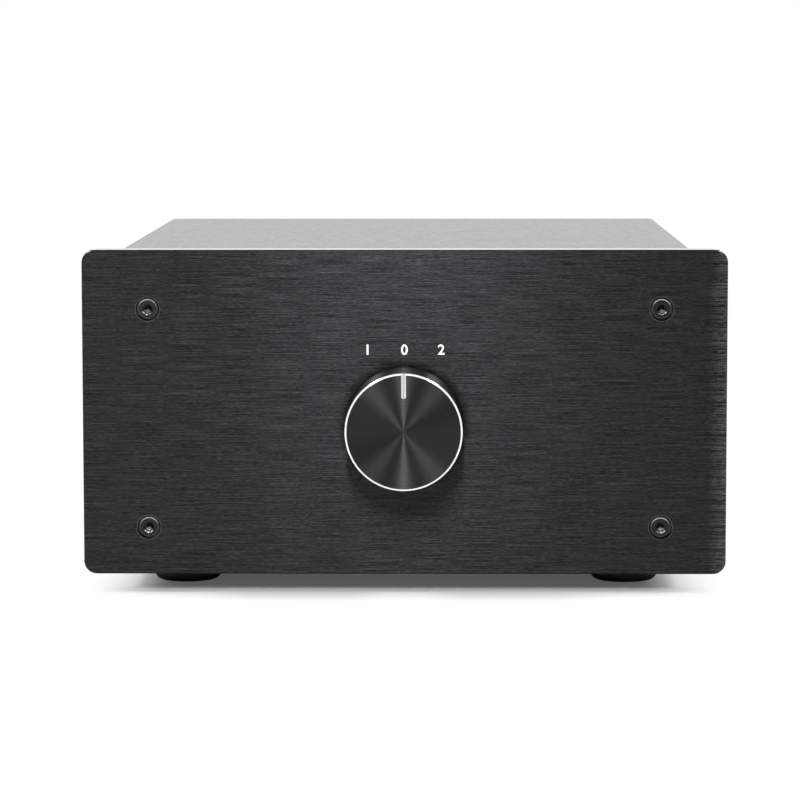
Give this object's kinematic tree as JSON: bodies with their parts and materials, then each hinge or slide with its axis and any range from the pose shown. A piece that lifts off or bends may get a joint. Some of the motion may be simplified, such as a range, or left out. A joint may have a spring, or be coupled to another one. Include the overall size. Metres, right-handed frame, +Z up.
{
  "type": "speaker selector switch",
  "caption": "Box with a thick black front panel, a central turned knob that selects one of two amplifiers, rubber feet and rear binding posts.",
  "frame": {"origin": "middle of the base of the bounding box, on the plane that the feet rest on", "axes": "+X to the right of someone facing the knob, +Y from the knob to the binding posts, +Z up"},
  "size_m": [0.175, 0.242, 0.0935],
  "materials": {
    "panel_black": "brushed lengthwise and black anodised",
    "cover_black": "satin black powder coat",
    "chassis_black": "satin black powder coat",
    "knob_aluminium": "turned and black anodised; its cut rim and pointer slot are bare metal",
    "screw_black": "black oxide",
    "zinc_steel": "zinc plated",
    "spring_steel": "bright",
    "nickel_brass": "nickel plated",
    "silver_brass": "silver plated",
    "gold_brass": "gold flashed",
    "nylon_white": "moulded",
    "phenolic_brown": "laminated sheet",
    "plastic_red": "moulded",
    "plastic_black": "moulded",
    "foot_rubber": "moulded",
    "wire_red": "extruded insulation",
    "wire_black": "extruded insulation"
  },
  "bodies": {
    "housing": {"black_insulators": "plastic_black", "black_wires": "wire_black", "chassis_tray": "chassis_black", "cover_screws": "screw_black", "detent_spring": "spring_steel", "feet": "foot_rubber", "foot_nuts": "zinc_steel", "foot_screws": "zinc_steel", "front_panel": "panel_black", "front_panel_screws": "screw_black", "inner_insulators": "plastic_black", "press_nuts": "zinc_steel", "red_insulators": "plastic_red", "red_wires": "wire_red", "solder_tags": "silver_brass", "spring_rivets": "zinc_steel", "stator_contacts": "silver_brass", "stop_pins": "zinc_steel", "switch_bushing": "nickel_brass", "switch_lock_washer": "zinc_steel", "switch_nut": "nickel_brass", "switch_plate": "zinc_steel", "terminal_nuts": "nickel_brass", "terminal_posts": "gold_brass", "tie_nuts": "zinc_steel", "tie_screws": "zinc_steel", "top_cover": "cover_black", "wafer_spacers": "nickel_brass", "wafer_stators": "phenolic_brown"},
    "selector": {"knob": "knob_aluminium", "knob_set_screw": "screw_black", "switch_shaft": "zinc_steel", "shaft_clip": "spring_steel", "index_wheel": "nylon_white", "wafer_rotors": "nylon_white", "rotor_contacts": "silver_brass"},
    "thread_amp_1_left_red": {"sleeve_amp_1_left_red": "gold_brass"},
    "grip_amp_1_left_red": {"cap_amp_1_left_red": "plastic_red"},
    "thread_amp_1_left_black": {"sleeve_amp_1_left_black": "gold_brass"},
    "grip_amp_1_left_black": {"cap_amp_1_left_black": "plastic_black"},
    "thread_amp_1_right_red": {"sleeve_amp_1_right_red": "gold_brass"},
    "grip_amp_1_right_red": {"cap_amp_1_right_red": "plastic_red"},
    "thread_amp_1_right_black": {"sleeve_amp_1_right_black": "gold_brass"},
    "grip_amp_1_right_black": {"cap_amp_1_right_black": "plastic_black"},
    "thread_speaker_left_red": {"sleeve_speaker_left_red": "gold_brass"},
    "grip_speaker_left_red": {"cap_speaker_left_red": "plastic_red"},
    "thread_speaker_left_black": {"sleeve_speaker_left_black": "gold_brass"},
    "grip_speaker_left_black": {"cap_speaker_left_black": "plastic_black"},
    "thread_speaker_right_red": {"sleeve_speaker_right_red": "gold_brass"},
    "grip_speaker_right_red": {"cap_speaker_right_red": "plastic_red"},
    "thread_speaker_right_black": {"sleeve_speaker_right_black": "gold_brass"},
    "grip_speaker_right_black": {"cap_speaker_right_black": "plastic_black"},
    "thread_amp_2_right_red": {"sleeve_amp_2_right_red": "gold_brass"},
    "grip_amp_2_right_red": {"cap_amp_2_right_red": "plastic_red"},
    "thread_amp_2_right_black": {"sleeve_amp_2_right_black": "gold_brass"},
    "grip_amp_2_right_black": {"cap_amp_2_right_black": "plastic_black"},
    "thread_amp_2_left_red": {"sleeve_amp_2_left_red": "gold_brass"},
    "grip_amp_2_left_red": {"cap_amp_2_left_red": "plastic_red"},
    "thread_amp_2_left_black": {"sleeve_amp_2_left_black": "gold_brass"},
    "grip_amp_2_left_black": {"cap_amp_2_left_black": "plastic_black"}
  },
  "joints": [
    {"name": "selector_turn", "type": "hinge", "parent": "housing", "child": "selector", "pos_m": [0, -0.1026, 0.04575], "axis": [0, 1, 0], "range_deg": [-30, 30], "deforming": ["detent_spring"]},
    {"name": "travel_amp_1_left_red", "type": "slide", "parent": "housing", "child": "thread_amp_1_left_red", "axis": [0, 1, 0], "range_m": [0, 0.005]},
    {"name": "turn_amp_1_left_red", "type": "hinge", "parent": "thread_amp_1_left_red", "child": "grip_amp_1_left_red", "pos_m": [-0.059, 0.11328, 0.06527], "axis": [0, 1, 0], "range_deg": [0, 1800]},
    {"name": "travel_amp_1_left_black", "type": "slide", "parent": "housing", "child": "thread_amp_1_left_black", "axis": [0, 1, 0], "range_m": [0, 0.005]},
    {"name": "turn_amp_1_left_black", "type": "hinge", "parent": "thread_amp_1_left_black", "child": "grip_amp_1_left_black", "pos_m": [-0.059, 0.11328, 0.03728], "axis": [0, 1, 0], "range_deg": [0, 1800]},
    {"name": "travel_amp_1_right_red", "type": "slide", "parent": "housing", "child": "thread_amp_1_right_red", "axis": [0, 1, 0], "range_m": [0, 0.005]},
    {"name": "turn_amp_1_right_red", "type": "hinge", "parent": "thread_amp_1_right_red", "child": "grip_amp_1_right_red", "pos_m": [-0.04, 0.11328, 0.06527], "axis": [0, 1, 0], "range_deg": [0, 1800]},
    {"name": "travel_amp_1_right_black", "type": "slide", "parent": "housing", "child": "thread_amp_1_right_black", "axis": [0, 1, 0], "range_m": [0, 0.005]},
    {"name": "turn_amp_1_right_black", "type": "hinge", "parent": "thread_amp_1_right_black", "child": "grip_amp_1_right_black", "pos_m": [-0.04, 0.11328, 0.03728], "axis": [0, 1, 0], "range_deg": [0, 1800]},
    {"name": "travel_speaker_left_red", "type": "slide", "parent": "housing", "child": "thread_speaker_left_red", "axis": [0, 1, 0], "range_m": [0, 0.005]},
    {"name": "turn_speaker_left_red", "type": "hinge", "parent": "thread_speaker_left_red", "child": "grip_speaker_left_red", "pos_m": [-0.0095, 0.11328, 0.06527], "axis": [0, 1, 0], "range_deg": [0, 1800]},
    {"name": "travel_speaker_left_black", "type": "slide", "parent": "housing", "child": "thread_speaker_left_black", "axis": [0, 1, 0], "range_m": [0, 0.005]},
    {"name": "turn_speaker_left_black", "type": "hinge", "parent": "thread_speaker_left_black", "child": "grip_speaker_left_black", "pos_m": [-0.0095, 0.11328, 0.03728], "axis": [0, 1, 0], "range_deg": [0, 1800]},
    {"name": "travel_speaker_right_red", "type": "slide", "parent": "housing", "child": "thread_speaker_right_red", "axis": [0, 1, 0], "range_m": [0, 0.005]},
    {"name": "turn_speaker_right_red", "type": "hinge", "parent": "thread_speaker_right_red", "child": "grip_speaker_right_red", "pos_m": [0.0095, 0.11328, 0.06527], "axis": [0, 1, 0], "range_deg": [0, 1800]},
    {"name": "travel_speaker_right_black", "type": "slide", "parent": "housing", "child": "thread_speaker_right_black", "axis": [0, 1, 0], "range_m": [0, 0.005]},
    {"name": "turn_speaker_right_black", "type": "hinge", "parent": "thread_speaker_right_black", "child": "grip_speaker_right_black", "pos_m": [0.0095, 0.11328, 0.03728], "axis": [0, 1, 0], "range_deg": [0, 1800]},
    {"name": "travel_amp_2_right_red", "type": "slide", "parent": "housing", "child": "thread_amp_2_right_red", "axis": [0, 1, 0], "range_m": [0, 0.005]},
    {"name": "turn_amp_2_right_red", "type": "hinge", "parent": "thread_amp_2_right_red", "child": "grip_amp_2_right_red", "pos_m": [0.04, 0.11328, 0.06527], "axis": [0, 1, 0], "range_deg": [0, 1800]},
    {"name": "travel_amp_2_right_black", "type": "slide", "parent": "housing", "child": "thread_amp_2_right_black", "axis": [0, 1, 0], "range_m": [0, 0.005]},
    {"name": "turn_amp_2_right_black", "type": "hinge", "parent": "thread_amp_2_right_black", "child": "grip_amp_2_right_black", "pos_m": [0.04, 0.11328, 0.03728], "axis": [0, 1, 0], "range_deg": [0, 1800]},
    {"name": "travel_amp_2_left_red", "type": "slide", "parent": "housing", "child": "thread_amp_2_left_red", "axis": [0, 1, 0], "range_m": [0, 0.005]},
    {"name": "turn_amp_2_left_red", "type": "hinge", "parent": "thread_amp_2_left_red", "child": "grip_amp_2_left_red", "pos_m": [0.059, 0.11328, 0.06527], "axis": [0, 1, 0], "range_deg": [0, 1800]},
    {"name": "travel_amp_2_left_black", "type": "slide", "parent": "housing", "child": "thread_amp_2_left_black", "axis": [0, 1, 0], "range_m": [0, 0.005]},
    {"name": "turn_amp_2_left_black", "type": "hinge", "parent": "thread_amp_2_left_black", "child": "grip_amp_2_left_black", "pos_m": [0.059, 0.11328, 0.03728], "axis": [0, 1, 0], "range_deg": [0, 1800]}
  ],
  "couplings": [
    {"joint": "turn_amp_1_left_red", "follows": "travel_amp_1_left_red", "rad_per_m": 6283.2},
    {"joint": "turn_amp_1_left_black", "follows": "travel_amp_1_left_black", "rad_per_m": 6283.2},
    {"joint": "turn_amp_1_right_red", "follows": "travel_amp_1_right_red", "rad_per_m": 6283.2},
    {"joint": "turn_amp_1_right_black", "follows": "travel_amp_1_right_black", "rad_per_m": 6283.2},
    {"joint": "turn_speaker_left_red", "follows": "travel_speaker_left_red", "rad_per_m": 6283.2},
    {"joint": "turn_speaker_left_black", "follows": "travel_speaker_left_black", "rad_per_m": 6283.2},
    {"joint": "turn_speaker_right_red", "follows": "travel_speaker_right_red", "rad_per_m": 6283.2},
    {"joint": "turn_speaker_right_black", "follows": "travel_speaker_right_black", "rad_per_m": 6283.2},
    {"joint": "turn_amp_2_right_red", "follows": "travel_amp_2_right_red", "rad_per_m": 6283.2},
    {"joint": "turn_amp_2_right_black", "follows": "travel_amp_2_right_black", "rad_per_m": 6283.2},
    {"joint": "turn_amp_2_left_red", "follows": "travel_amp_2_left_red", "rad_per_m": 6283.2},
    {"joint": "turn_amp_2_left_black", "follows": "travel_amp_2_left_black", "rad_per_m": 6283.2}
  ]
}
